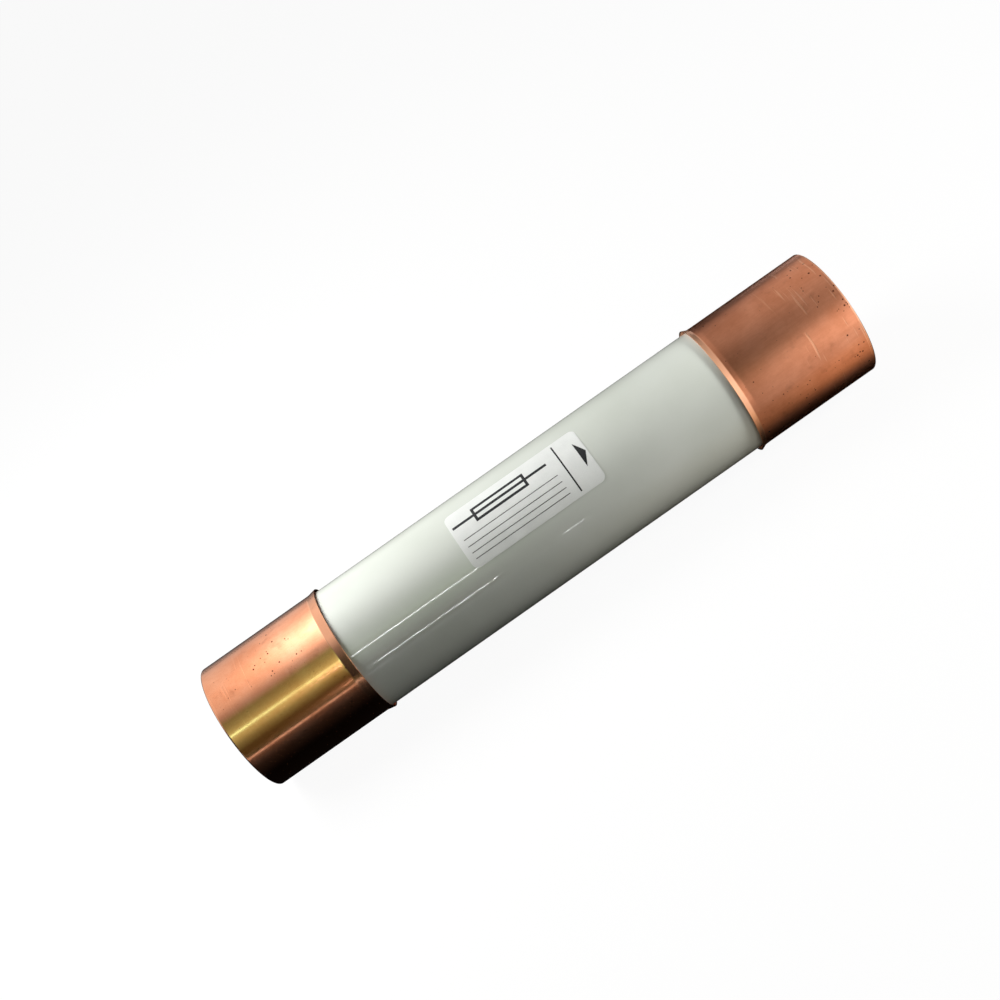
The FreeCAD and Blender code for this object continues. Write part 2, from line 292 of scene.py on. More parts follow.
# A rectangle in the XY plane, in millimetres.
def flatPlate(name, length, height, middle=(0, 0)):
    deselectAll()
    place = (middle[0] * millimetre, middle[1] * millimetre, 0)
    bpy.ops.mesh.primitive_plane_add(size=1, location=place)
    piece = bpy.context.object
    piece.name = name
    piece.scale = (length * millimetre, height * millimetre, 1)
    bpy.ops.object.transform_apply(location=True, rotation=False, scale=True)
    return piece


def makeLabel():
    s = labelShape
    piece = flatPlate("paperLabel", s["length"], s["height"])
    bpy.ops.object.mode_set(mode="EDIT")
    bpy.ops.mesh.select_all(action="SELECT")
    bpy.ops.mesh.bevel(offset=s["corner"] * millimetre, segments=8, affect="VERTICES")
    bpy.ops.object.mode_set(mode="OBJECT")
    finishSheet(piece, 0.0, s["thickness"])
    return piece


# What is printed on the label, in flat millimetres from its middle: X runs
# towards the striker end and Y up the label. Each bar is (x, y, length, height).
printShape = {
    "thickness": 0.03,
    "crossLine": (22.6, 0.0, 0.7, 26.4),
    "arrowBaseX": 30.9,
    "arrowTipX": 34.3,
    "arrowMiddleY": 0.9,
    "arrowHalfWidth": 6.7,
    "fuseSign": {"x": -8.5, "y": 6.6, "length": 28.0, "height": 7.6, "line": 1.3},
    "fuseSignLead": 11.0,
    "writingLines": [-1.2, -4.8, -8.0, -11.0],  # their Y
    "writingLineStart": -32.0,
    "writingLineEnd": 18.0,
    "writingLineHeight": 0.32,
}


# Bars of the plain graphic sign for a fuse: a box with a line through it.
def fuseSignBars():
    sign, lead = printShape["fuseSign"], printShape["fuseSignLead"]
    x, y, length, height, line = (sign[k] for k in ("x", "y", "length", "height", "line"))
    sideX = (length - line) / 2
    sideY = (height - line) / 2
    return [
        (x, y + sideY, length, line),
        (x, y - sideY, length, line),
        (x - sideX, y, line, height - 2 * line),
        (x + sideX, y, line, height - 2 * line),
        (x, y, length - 2 * line, line),
        (x - (length + lead) / 2, y, lead, line),
        (x + (length + lead) / 2, y, lead, line),
    ]


def makeArrow():
    p = printShape
    length = p["arrowTipX"] - p["arrowBaseX"]
    middleX = (p["arrowTipX"] + p["arrowBaseX"]) / 2
    arrow = flatPlate("arrow", length, 2 * p["arrowHalfWidth"], (middleX, p["arrowMiddleY"]))
    tip = [v.co.copy() for v in arrow.data.vertices if v.co.x > middleX * millimetre]
    bpy.ops.object.mode_set(mode="EDIT")
    bpy.ops.mesh.select_mode(type="VERT")
    selectPlaces(arrow, tip)
    bpy.ops.mesh.merge(type="CENTER")
    bpy.ops.object.mode_set(mode="OBJECT")
    return arrow


def makePrint():
    p = printShape
    middle = (p["writingLineStart"] + p["writingLineEnd"]) / 2
    length = p["writingLineEnd"] - p["writingLineStart"]
    bars = [p["crossLine"]] + fuseSignBars()
    bars += [(middle, y, length, p["writingLineHeight"]) for y in p["writingLines"]]
    plates = [flatPlate("bar", bar[2], bar[3], bar[:2]) for bar in bars]
    arrow = makeArrow()
    deselectAll()
    for plate in plates:
        plate.select_set(True)
    arrow.select_set(True)
    bpy.context.view_layer.objects.active = arrow
    bpy.ops.object.join()
    arrow.name = "labelPrint"
    arrow.data.name = "labelPrint"
    finishSheet(arrow, labelShape["thickness"], p["thickness"])
    return arrow


# An sRGB hex colour as the linear colour that Blender takes.
def linear(hexColour):
    parts = [int(hexColour[i : i + 2], 16) / 255 for i in (1, 3, 5)]
    parts = [p / 12.92 if p <= 0.04045 else ((p + 0.055) / 1.055) ** 2.4 for p in parts]
    return (*parts, 1.0)


# Adds a node. A setting is one of its own properties, or else the value of
# the socket with that name or number; stops are (place, colour) of a ramp.
def addNode(tree, kind, settings=None, links=None, stops=None):
    node = tree.nodes.new(kind)
    for name, value in (settings or {}).items():
        if isinstance(name, str) and hasattr(node, name):
            setattr(node, name, value)
        else:
            node.inputs[name].default_value = value
    for i, (place, colour) in enumerate(stops or []):
        elements = node.color_ramp.elements
        element = elements[i] if i < 2 else elements.new(place)
        element.position = place
        element.color = colour
    for name, socket in (links or {}).items():
        tree.links.new(socket, node.inputs[name])
    return node


# Ramp stops of plain grey, from pairs of (place, level).
def greyStops(*pairs):
    return [(place, (level, level, level, 1.0)) for place, level in pairs]


# The scale that gives a pattern's cells this size in millimetres.
def scaleFor(size):
    return 1 / (size * millimetre)


# A new material with its shader's constants set; returns both.
def startMaterial(name, shaderSettings):
    material = bpy.data.materials.new(name)
    material.use_nodes = True
    shader = material.node_tree.nodes["Principled BSDF"]
    for socket, value in shaderSettings.items():
        shader.inputs[socket].default_value = value
    return material, shader


porcelainLook = {
    "dark": "#cfd4c9",
    "light": "#d8dcd3",
    "speck": "#8f8a7c",
    "specklessShare": 0.86,
    "smooth": 0.02,
    "rough": 0.05,
    "clouds": 45.455,
    "speckSpacing": 6.6667,
    "waves": 11.765,
}


# Glazed porcelain: white body under a glossy, faintly green-grey glaze. The eye
# sees sharp streaks of light that waver a little, and a few iron specks.
def glazedPorcelain():
    look = porcelainLook
    material, shader = startMaterial("glazedPorcelain", {"IOR": 1.52})
    tree = material.node_tree
    place = addNode(tree, "ShaderNodeTexCoord").outputs["Object"]
    clouds = addNode(
        tree,
        "ShaderNodeTexNoise",
        {"Scale": scaleFor(look["clouds"]), "Detail": 4.0},
        {"Vector": place},
    )
    tone = addNode(
        tree,
        "ShaderNodeValToRGB",
        links={"Fac": clouds.outputs["Fac"]},
        stops=[(0.3, linear(look["dark"])), (0.7, linear(look["light"]))],
    )
    # Iron specks of about 0.3 mm, one in a few square centimetres of glaze.
    cells = addNode(
        tree,
        "ShaderNodeTexVoronoi",
        {"Scale": scaleFor(look["speckSpacing"])},
        {"Vector": place},
    )
    speck = addNode(
        tree,
        "ShaderNodeValToRGB",
        links={"Fac": cells.outputs["Distance"]},
        stops=greyStops((0.02, 1.0), (0.05, 0.0)),
    )
    chosen = addNode(
        tree,
        "ShaderNodeMath",
        {"operation": "GREATER_THAN", 1: look["specklessShare"]},
        {0: cells.outputs["Color"]},
    )
    strength = addNode(
        tree,
        "ShaderNodeMath",
        {"operation": "MULTIPLY"},
        {0: speck.outputs["Color"], 1: chosen.outputs["Value"]},
    )
    colour = addNode(
        tree,
        "ShaderNodeMix",
        {"data_type": "RGBA", 7: linear(look["speck"])},
        {0: strength.outputs["Value"], 6: tone.outputs["Color"]},
    )
    # The glaze flows in the kiln and leaves waves 8 to 15 mm long.
    waves = addNode(
        tree,
        "ShaderNodeTexNoise",
        {"Scale": scaleFor(look["waves"]), "Detail": 1.0},
        {"Vector": place},
    )
    sheen = addNode(
        tree,
        "ShaderNodeMapRange",
        {"To Min": look["smooth"], "To Max": look["rough"]},
        {"Value": clouds.outputs["Fac"]},
    )
    bump = addNode(
        tree,
        "ShaderNodeBump",
        {"Strength": 0.03, "Distance": 0.0004},
        {"Height": waves.outputs["Fac"]},
    )
    tree.links.new(colour.outputs[2], shader.inputs["Base Color"])
    tree.links.new(sheen.outputs["Result"], shader.inputs["Roughness"])
    tree.links.new(bump.outputs["Normal"], shader.inputs["Normal"])
    return material


# The plain end's cap, wiped bright: the eye sees clear reflections in it.
brightCopper = {
    "clean": "#f0ab86",
    "worn": "#dd9069",
    "stain": "#7d4329",
    # The lighter copper of the rim and far corner is partly wear and partly a painted highlight;
    # the scratches take it as bare bright metal.
    "burnishedAndHighlight": "#f4b28c",
    "smooth": 0.1,
    "rough": 0.17,
    "patch": 26.316,
    "grainStretch": 0.3,
    "rimTo": 106.2,
    "pits": 0.25,
    "endPits": 0.3,
    "stainFrom": 0.62,
    "stainTo": 0.85,
    "ringStrength": 0.15,
}
# The striker end's cap, duller: the eye sees soft bands, and pits by the end.
satinCopper = {
    "clean": "#ea9d79",
    "worn": "#cb7e59",
    "stain": "#6f3a25",
    # The lighter copper of the rim and far corner is partly wear and partly a painted highlight;
    # the scratches take it as bare bright metal.
    "burnishedAndHighlight": "#ffc29b",
    "smooth": 0.276,
    "rough": 0.305,
    "patch": 33.333,
    "grainStretch": 0.12,
    "rimTo": 104.4,
    "pits": 0.25,
    "endPits": 0.9,
    "stainFrom": 0.6,
    "stainTo": 0.85,
    "ringStrength": 0.4,
}


# Marks that both caps share: places as (from, to) from the fuse's middle, then
# the spacing of each pattern, then how strong they are.
capMarks = {
    "rimWidth": 0.5,
    "corner": (163.9, 164.5),
    "pitsGrow": (130.0, 160.0),
    "endFace": (164.2, 164.7),
    "clip": (130.0, 142.0),
    "drawLines": 1.4286,
    "stains": 7.1429,
    "pits": 1.4286,
    "clusters": 23.81,
    "scratches": 1.1111,
    # How much the rim and far corner are lightened: partly wear, partly a painted highlight.
    "rubbedAndHighlight": 0.75,
    "firstPits": 0.05,
    "facePits": 0.2,
    "pitColour": "#55301f",
}


# Deep-drawn copper, handled and lightly tarnished. The eye sees warm metal
# with fine lines along the draw, duller patches, dark pits and stains, and
# a few scratches round the cup.
def drawnCopper(name, look):
    marks = capMarks
    material, shader = startMaterial(name, {"Metallic": 1.0})
    tree = material.node_tree
    place = addNode(tree, "ShaderNodeTexCoord").outputs["Object"]
    parts = addNode(tree, "ShaderNodeSeparateXYZ", links={"Vector": place})
    away = addNode(tree, "ShaderNodeMath", {"operation": "ABSOLUTE"}, {0: parts.outputs["X"]})
    # Values that change along the cap: (from, to, value before, value after).
    steps = {
        "rim": (look["rimTo"], look["rimTo"] + marks["rimWidth"], marks["rubbedAndHighlight"], 0.0),
        "corner": (*marks["corner"], 0.0, marks["rubbedAndHighlight"]),
        "atEnd": (*marks["pitsGrow"], marks["firstPits"], look["endPits"]),
        "offFace": (*marks["endFace"], 1.0, marks["facePits"]),
        "inClip": (*marks["clip"], 0.0, look["ringStrength"]),
    }
    for step, (start, end, before, after) in steps.items():
        places = {"From Min": start * millimetre, "From Max": end * millimetre}
        steps[step] = addNode(
            tree,
            "ShaderNodeMapRange",
            {**places, "To Min": before, "To Max": after},
            {"Value": away.outputs["Value"]},
        ).outputs["Result"]
    patches = addNode(
        tree,
        "ShaderNodeTexNoise",
        {"Scale": scaleFor(look["patch"]), "Detail": 8.0, "Roughness": 0.68},
        {"Vector": place},
    )
    metal = addNode(
        tree,
        "ShaderNodeValToRGB",
        links={"Fac": patches.outputs["Fac"]},
        stops=[(0.38, linear(look["clean"])), (0.66, linear(look["worn"]))],
    )
    # Lines along the draw, 1.4 mm apart and 5 to 12 mm long.
    along = addNode(
        tree, "ShaderNodeMapping", {"Scale": (look["grainStretch"], 1.0, 1.0)}, {"Vector": place}
    )
    drawLines = addNode(
        tree,
        "ShaderNodeTexNoise",
        {"Scale": scaleFor(marks["drawLines"]), "Detail": 3.0, "Roughness": 0.7},
        {"Vector": along.outputs["Vector"]},
    )
    streaked = addNode(
        tree,
        "ShaderNodeMapRange",
        {"From Min": 0.35, "From Max": 0.65, "To Min": 0.0, "To Max": 0.3},
        {"Value": drawLines.outputs["Fac"]},
    )
    # The flared rim and the far corner, rubbed bright: partly real wear, partly a painted
    # highlight where their roundings catch the light.
    rubbedAndHighlight = addNode(
        tree, "ShaderNodeMath", {"operation": "ADD"}, {0: steps["rim"], 1: steps["corner"]}
    )
    # Handling stains, 5 to 10 mm across.
    blots = addNode(
        tree,
        "ShaderNodeTexNoise",
        {"Scale": scaleFor(marks["stains"]), "Detail": 3.0, "Roughness": 0.55},
        {"Vector": place},
    )
    stains = addNode(
        tree,
        "ShaderNodeValToRGB",
        links={"Fac": blots.outputs["Fac"]},
        stops=greyStops((look["stainFrom"], 0.0), (look["stainTo"], 0.4)),
    )
    # Dark pits up to 0.8 mm, in clusters some centimetres across and more of
    # them by the far corner. A cell's random value sets the size of its pit,
    # and most cells have none.
    cells = addNode(
        tree, "ShaderNodeTexVoronoi", {"Scale": scaleFor(marks["pits"])}, {"Vector": place}
    )
    chance = addNode(
        tree,
        "ShaderNodeMapRange",
        {"From Min": 0.66, "From Max": 0.86, "To Min": 0.001, "To Max": 1.0},
        {"Value": cells.outputs["Color"]},
    )
    cluster = addNode(
        tree,
        "ShaderNodeTexNoise",
        {"Scale": scaleFor(marks["clusters"]), "Detail": 2.0},
        {"Vector": place},
    )
    crowd = addNode(
        tree,
        "ShaderNodeMapRange",
        {"From Min": 0.48, "From Max": 0.64, "To Min": look["pits"], "To Max": 0.8},
        {"Value": cluster.outputs["Fac"]},
    )
    crowded = addNode(
        tree,
        "ShaderNodeMath",
        {"operation": "MAXIMUM"},
        {0: crowd.outputs["Result"], 1: steps["atEnd"]},
    )
    spread = addNode(
        tree,
        "ShaderNodeMath",
        {"operation": "MULTIPLY"},
        {0: crowded.outputs["Value"], 1: steps["offFace"]},
    )
    pitSize = addNode(
        tree,
        "ShaderNodeMath",
        {"operation": "MULTIPLY"},
        {0: chance.outputs["Result"], 1: spread.outputs["Value"]},
    )
    depth = addNode(
        tree,
        "ShaderNodeMath",
        {"operation": "DIVIDE"},
        {0: cells.outputs["Distance"], 1: pitSize.outputs["Value"]},
    )
    pitted = addNode(
        tree,
        "ShaderNodeMapRange",
        {"From Min": 0.3, "From Max": 0.45, "To Min": 0.95, "To Max": 0.0},
        {"Value": depth.outputs["Value"]},
    )
    # Scratches round the cup, 0.4 mm wide and two centimetres long, where it
    # slides in and out of its clip.
    wound = addNode(tree, "ShaderNodeMapping", {"Scale": (1.0, 0.06, 0.06)}, {"Vector": place})
    rings = addNode(
        tree,
        "ShaderNodeTexNoise",
        {"Scale": scaleFor(marks["scratches"]), "Detail": 1.0},
        {"Vector": wound.outputs["Vector"]},
    )
    scratches = addNode(
        tree,
        "ShaderNodeValToRGB",
        links={"Fac": rings.outputs["Fac"]},
        stops=greyStops((0.65, 0.0), (0.71, 1.0)),
    )
    scratched = addNode(
        tree,
        "ShaderNodeMath",
        {"operation": "MULTIPLY"},
        {0: scratches.outputs["Color"], 1: steps["inClip"]},
    )
    # Each mark is laid over the ones before it.
    colour = metal.outputs["Color"]
    for share, tint in (
        (streaked.outputs["Result"], look["worn"]),
        (rubbedAndHighlight.outputs["Value"], look["burnishedAndHighlight"]),
        (stains.outputs["Color"], look["stain"]),
        (pitted.outputs["Result"], marks["pitColour"]),
        (scratched.outputs["Value"], look["burnishedAndHighlight"]),
    ):
        colour = addNode(
            tree,
            "ShaderNodeMix",
            {"data_type": "RGBA", 7: linear(tint)},
            {0: share, 6: colour},
        ).outputs[2]
    finish = addNode(
        tree,
        "ShaderNodeMapRange",
        {"From Min": 0.3, "From Max": 0.7, "To Min": look["smooth"], "To Max": look["rough"]},
        {"Value": patches.outputs["Fac"]},
    )
    dulled = addNode(
        tree,
        "ShaderNodeMath",
        {"operation": "MULTIPLY_ADD", 1: 0.08},
        {0: stains.outputs["Color"], 2: finish.outputs["Result"]},
    )
    height = addNode(
        tree,
        "ShaderNodeMath",
        {"operation": "MULTIPLY_ADD", 1: -0.1},
        {0: pitted.outputs["Result"], 2: drawLines.outputs["Fac"]},
    )
    relief = addNode(
        tree,
        "ShaderNodeBump",
        {"Strength": 0.04, "Distance": 0.00006},
        {"Height": height.outputs["Value"]},
    )
    scored = addNode(
        tree,
        "ShaderNodeBump",
        {"Strength": 0.6, "Distance": 0.00005, "invert": True},
        {"Height": scratched.outputs["Value"], "Normal": relief.outputs["Normal"]},
    )
    tree.links.new(colour, shader.inputs["Base Color"])
    tree.links.new(dulled.outputs["Value"], shader.inputs["Roughness"])
    tree.links.new(scored.outputs["Normal"], shader.inputs["Normal"])
    return material


# A plain finish with one noise for tone and sheen and one for its grain. The
# label, the pin and the parts inside the barrel have it, each with the colours
# and grain of its own.
def grainyFinish(name, look):
    material, shader = startMaterial(name, {"Metallic": look.get("metallic", 0.0)})
    tree = material.node_tree
    place = addNode(tree, "ShaderNodeTexCoord").outputs["Object"]
    stretched = addNode(
        tree,
        "ShaderNodeMapping",
        {"Scale": look.get("stretch", (1.0, 1.0, 1.0))},
        {"Vector": place},
    )
    tone = addNode(
        tree,
        "ShaderNodeTexNoise",
        {"Scale": scaleFor(look["patch"]), "Detail": 4.0},
        {"Vector": place},
    )
    grain = addNode(
        tree,
        "ShaderNodeTexNoise",
        {"Scale": scaleFor(look["grain"]), "Detail": 3.0},
        {"Vector": stretched.outputs["Vector"]},
    )
    both = addNode(
        tree,
        "ShaderNodeMix",
        {0: look.get("grainShare", 0.4)},
        {2: tone.outputs["Fac"], 3: grain.outputs["Fac"]},
    )
    colour = addNode(
        tree,
        "ShaderNodeValToRGB",
        links={"Fac": both.outputs[0]},
        stops=[(0.35, linear(look["dark"])), (0.65, linear(look["light"]))],
    )
    rough, change = look["roughness"], 0.08
    sheen = addNode(
        tree,
        "ShaderNodeMapRange",
        {"To Min": rough - change, "To Max": rough + change},
        {"Value": tone.outputs["Fac"]},
    )
    relief = addNode(
        tree,
        "ShaderNodeBump",
        {"Strength": look.get("relief", 0.3), "Distance": look["grain"] * millimetre / 4},
        {"Height": grain.outputs["Fac"]},
    )
    tree.links.new(colour.outputs["Color"], shader.inputs["Base Color"])
    tree.links.new(sheen.outputs["Result"], shader.inputs["Roughness"])
    tree.links.new(relief.outputs["Normal"], shader.inputs["Normal"])
    return material


# Lengths of patch and grain are millimetres.
finishes = {
    # Coated label paper: smooth, with a faint fibre under a satin coat.
    "coatedPaper": {
        "dark": "#e3e5e1", "light": "#eef0ec", "roughness": 0.42, "patch": 9.0, "grain": 0.35,
        "relief": 0.06,
    },
    # Printing ink: near black, a little uneven where the paper's fibre shows.
    "blackInk": {
        "dark": "#131315", "light": "#202023", "roughness": 0.45, "patch": 5.0, "grain": 0.4,
        "relief": 0.05,
    },
    # Bright nickel on turned steel: yellowish white metal with fine turning rings.
    "nickelPlate": {
        "dark": "#b9b5aa", "light": "#d4d0c6", "metallic": 1.0, "roughness": 0.24,
        "patch": 4.0, "grain": 0.3, "stretch": (1.0, 0.1, 0.1),
    },
    # Rolled brass, drawn: yellow metal with lines along the draw.
    "drawnBrass": {
        "dark": "#c9a764", "light": "#e2c587", "metallic": 1.0, "roughness": 0.3, "patch": 8.0,
        "grain": 0.8, "stretch": (0.1, 1.0, 1.0),
    },
    # Turned brass: fine rings round the axis.
    "turnedBrass": {
        "dark": "#c4a05a", "light": "#e6cc92", "metallic": 1.0, "roughness": 0.26,
        "patch": 6.0, "grain": 0.3, "stretch": (1.0, 0.05, 0.05),
    },
    # Pressed fibre and rubber: dull brown-black sheet with short fibres.
    "fibreGasket": {
        "dark": "#4c4642", "light": "#6b625b", "roughness": 0.8, "patch": 3.0, "grain": 0.5,
        "relief": 0.6,
    },
    # Unglazed ceramic: matt cream body with a fine sandy skin.
    "unglazedCeramic": {
        "dark": "#d9cfb8", "light": "#ebe3d0", "roughness": 0.78, "patch": 12.0, "grain": 0.4,
        "relief": 0.4,
    },
    # Rolled copper sheet: soft red metal with rolling lines.
    "rolledCopper": {
        "dark": "#cf8661", "light": "#eeaa88", "metallic": 1.0, "roughness": 0.3, "patch": 5.0,
        "grain": 0.4, "stretch": (0.2, 1.0, 1.0),
    },
    # Fine silver strip: almost white metal, lightly dulled.
    "silverStrip": {
        "dark": "#d8d6d0", "light": "#f1f0ec", "metallic": 1.0, "roughness": 0.22,
        "patch": 3.0, "grain": 0.2,
    },
    # Tin solder: soft grey metal, frozen in small crystals.
    "tinSolder": {
        "dark": "#a9a9a7", "light": "#cfcfcd", "metallic": 1.0, "roughness": 0.4, "patch": 0.8,
        "grain": 0.25,
    },
    # Quartz sand, grains 0.3 to 0.6 mm: pale, with glassy and honey grains.
    "quartzSand": {
        "dark": "#bda984", "light": "#eee6d2", "roughness": 0.6, "patch": 10.0, "grain": 0.45,
        "grainShare": 0.8, "relief": 1.0,
    },
    # Oiled spring wire: dark blue-grey steel with a soft shine.
    "springSteel": {
        "dark": "#6a6b6e", "light": "#8c8d90", "metallic": 1.0, "roughness": 0.34,
        "patch": 3.0, "grain": 0.3,
    },
    # Bright drawn steel wire.
    "drawnWire": {
        "dark": "#a8a8a8", "light": "#cccccc", "metallic": 1.0, "roughness": 0.25,
        "patch": 2.0, "grain": 0.2, "stretch": (0.1, 1.0, 1.0),
    },
    # Tinned copper wire: grey tin that lets a little copper through.
    "tinnedWire": {
        "dark": "#b5aca3", "light": "#d0cbc5", "metallic": 1.0, "roughness": 0.32,
        "patch": 2.0, "grain": 0.3, "stretch": (0.1, 1.0, 1.0),
    },
}
insideNodes = {
    "drawnBrass": ["plain_end_inner_cap", "striker_end_inner_cap", "filling_plug"],
    "turnedBrass": ["striker_housing", "striker_front_bush", "striker_terminal"],
    "fibreGasket": ["plain_end_gasket", "striker_end_gasket"],
    "unglazedCeramic": ["star_core", "striker_rear_insulator"],
    "rolledCopper": ["plain_end_contact_spider", "striker_end_contact_spider"],
    "silverStrip": ["fuse_element_1", "fuse_element_2", "fuse_element_3"],
    "tinSolder": ["solder_spot_1", "solder_spot_2", "solder_spot_3"],
    "quartzSand": ["quartz_sand"],
    "springSteel": ["striker_spring"],
    "drawnWire": ["striker_release_wire"],
    "tinnedWire": ["striker_circuit_wire"],
}


# A modelled piece gets its material and the body it moves with, and the CAD node that it stands
# for is hidden.
def dressPiece(piece, material, body, node):
    piece.data.materials.clear()
    piece.data.materials.append(material)
    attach(piece, body)
    if node:
        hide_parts(node)


# A CAD solid stays as it is and only gets its material.
def dressNode(node, material):
    if not node.material_slots:
        node.data.materials.append(material)
    for place in node.material_slots:
        place.material = material


# Mixes a surface with plain white light, which only the camera, reflections
# and what is seen through glass find.
def seenWhite(tree, surface, share):
    rays = addNode(tree, "ShaderNodeLightPath")
    seen = rays.outputs["Is Camera Ray"]
    for ray in ("Is Glossy Ray", "Is Transmission Ray"):
        seen = addNode(
            tree,
            "ShaderNodeMath",
            {"operation": "ADD", "use_clamp": True},
            {0: seen, 1: rays.outputs[ray]},
        ).outputs["Value"]
    part = addNode(tree, "ShaderNodeMath", {"operation": "MULTIPLY", 1: share}, {0: seen})
    white = addNode(tree, "ShaderNodeEmission", {"Color": (1, 1, 1, 1), "Strength": 1.0})
    return addNode(
        tree,
        "ShaderNodeMixShader",
        links={0: part.outputs["Value"], 1: surface, 2: white.outputs["Emission"]},
    )


def showSurface(tree, socket):
    tree.links.new(socket, tree.nodes["Material Output"].inputs["Surface"])


# Fades from one colour into another between two places along the fuse.
def fadeAlong(tree, parts, start, end, before, after):
    fade = addNode(
        tree,
        "ShaderNodeMapRange",
        {"From Min": start, "From Max": end},
        {"Value": parts.outputs["X"]},
    )
    return addNode(
        tree,
        "ShaderNodeMix",
        {"data_type": "RGBA"},
        {0: fade.outputs["Result"], 6: before, 7: after},
    ).outputs[2]


studio = {
    "fillLevel": 0.085,
    "floorSize": 12.0,
    "floorColour": "#f4f4f2",
    "floorWhite": 0.94,
}


# Matt white paper: the eye sees only the fuse's soft shadow on it.
def makeFloor():
    deselectAll()
    bpy.ops.mesh.primitive_plane_add(size=studio["floorSize"], location=(0, 0, restZ))
    floor = bpy.context.object
    floor.name = "studioFloor"
    material, shader = startMaterial("whitePaper", {"Roughness": 0.9, "Specular IOR Level": 0.0})
    shader.inputs["Base Color"].default_value = linear(studio["floorColour"])
    tree = material.node_tree
    mixed = seenWhite(tree, shader.outputs["BSDF"], studio["floorWhite"])
    showSurface(tree, mixed.outputs["Shader"])
    floor.data.materials.append(material)


def makeWorld():
    world = bpy.data.worlds.new("studioAir")
    bpy.context.scene.world = world
    world.use_nodes = True
    tree = world.node_tree
    fill = tree.nodes["Background"]
    fill.inputs["Color"].default_value = (1, 1, 1, 1)
    fill.inputs["Strength"].default_value = studio["fillLevel"]
    mixed = seenWhite(tree, fill.outputs["Background"], 1.0)
    tree.links.new(mixed.outputs["Shader"], tree.nodes["World Output"].inputs["Surface"])


# Soft boxes, as (where, aimed at, width, height, watts, colour).
lamps = {
    "keySoftbox": ((-0.33, 0.175, 0.38), (-0.06, 0, 0), 0.4, 0.24, 4.2, "#ffffff"),
    "sideSoftbox": ((0.75, -0.25, 0.3), (0.05, 0, 0), 0.2, 0.2, 4.6, "#ffffff"),
    "frontFill": ((0.34, -0.36, 0.12), (0.12, 0, 0), 0.24, 0.3, 0.3, "#fdf8f2"),
}


def makeLamps():
    for name, (where, aim, width, height, watts, colour) in lamps.items():
        deselectAll()
        bpy.ops.object.light_add(type="AREA", location=where)
        lamp = bpy.context.object
        lamp.name = name
        lamp.data.shape = "RECTANGLE"
        lamp.data.size, lamp.data.size_y = width, height
        lamp.data.energy = watts
        lamp.data.color = linear(colour)[:3]
        lamp.rotation_euler = (Vector(aim) - Vector(where)).to_track_quat("-Z", "Y").to_euler()
        lamp.visible_glossy = False
        lamp.visible_camera = False


# A black card that hides the upper part of the side soft box from the plain
# end's half of the barrel, so that the front gets darker towards that end.
flag = {
    "x": 0.2,
    "fromY": -0.165,
    "toY": 0.2,
    "fromZ": 0.09,
    "toZ": 0.6,
    "thickness": 0.002,
    "colour": "#0a0a0a",
}


def makeFlag():
    f = flag
    deselectAll()
    middle = (f["x"], (f["fromY"] + f["toY"]) / 2, (f["fromZ"] + f["toZ"]) / 2)
    bpy.ops.mesh.primitive_cube_add(size=1, location=middle)
    card = bpy.context.object
    card.name = "blackFlag"
    card.scale = (f["thickness"], f["toY"] - f["fromY"], f["toZ"] - f["fromZ"])
    bpy.ops.object.transform_apply(location=True, rotation=False, scale=True)
    material, shader = startMaterial("blackCard", {"Roughness": 0.9})
    shader.inputs["Base Color"].default_value = linear(f["colour"])
    card.data.materials.append(material)
    onlyMirrored(card)
    card.visible_glossy = False
    card.visible_shadow = True


# What the metal and the glaze mirror: a tent of boards round the fuse, lit in
# bands from 0 at the front horizon over 90 above to 180 at the back. A band is
# (elevation, level) or (elevation, level, tint). Each column of boards stands
# at one place along the fuse and fades into the next one. "Along" dims or lifts
# a side by its distance from the middle, as (metres, share).
straw = "#dcffb8"
honey = "#fffa98"
tent = {
    "radius": 1.0,
    "halfLength": 1.6,
    "sides": 180,
    "floorGap": 0.002,
    "fromElevation": -10,
    "toElevation": 190,
    "topLevel": 2.0,
    "topShare": 2.0,
    "columns": {
        "plainFar": [(-2, 0.03), (36, 0.07), (58, 0.3), (80, 1.0), (150, 1.1), (170, 0.3)],
        "plainEnd": [
            (-2, 0.1, honey), (9, 0.1, honey), (21, 0.44, straw), (31, 1.05, straw),
            (40, 1.05, straw), (50, 0.6, straw), (60, 0.4, straw), (70, 0.6), (84, 1.2),
            (140, 1.35), (160, 1.15), (172, 0.95), (186, 0.4),
        ],
        "strikerMouth": [
            (-2, 0.5), (18, 0.5), (28, 0.12), (36, 0.0), (78, 0.0), (90, 0.5), (110, 1.0),
            (142, 1.3), (160, 1.15), (170, 0.12), (176, 0.02),
        ],
        "strikerEnd": [
            (-2, 1.5), (20, 1.85), (34, 1.5), (46, 0.7), (56, 0.5), (84, 0.56), (120, 0.76),
            (142, 0.72), (160, 0.6), (170, 0.12), (176, 0.02),
        ],
        "strikerFar": [(-2, 1.3), (40, 1.4), (60, 1.0), (100, 0.7), (145, 0.5), (165, 0.1)],
    },
    "fades": [(-0.62, -0.52), (-0.1, 0.15), (0.35, 0.39), (0.52, 0.66)],
    "plainAlong": [(0.2, 1.0), (0.31, 1.0), (0.38, 0.82), (0.46, 0.76), (0.6, 0.9)],
    "strikerAlong": [
        (0.24, 0.19), (0.3, 0.2), (0.33, 0.32), (0.38, 1.25), (0.44, 1.35), (0.6, 1.0),
    ],
    "sideFade": (-0.1, 0.15),
}


def onlyMirrored(board):
    board.visible_camera = False
    board.visible_diffuse = False
    board.visible_shadow = False
    board.visible_transmission = False
    board.visible_volume_scatter = False


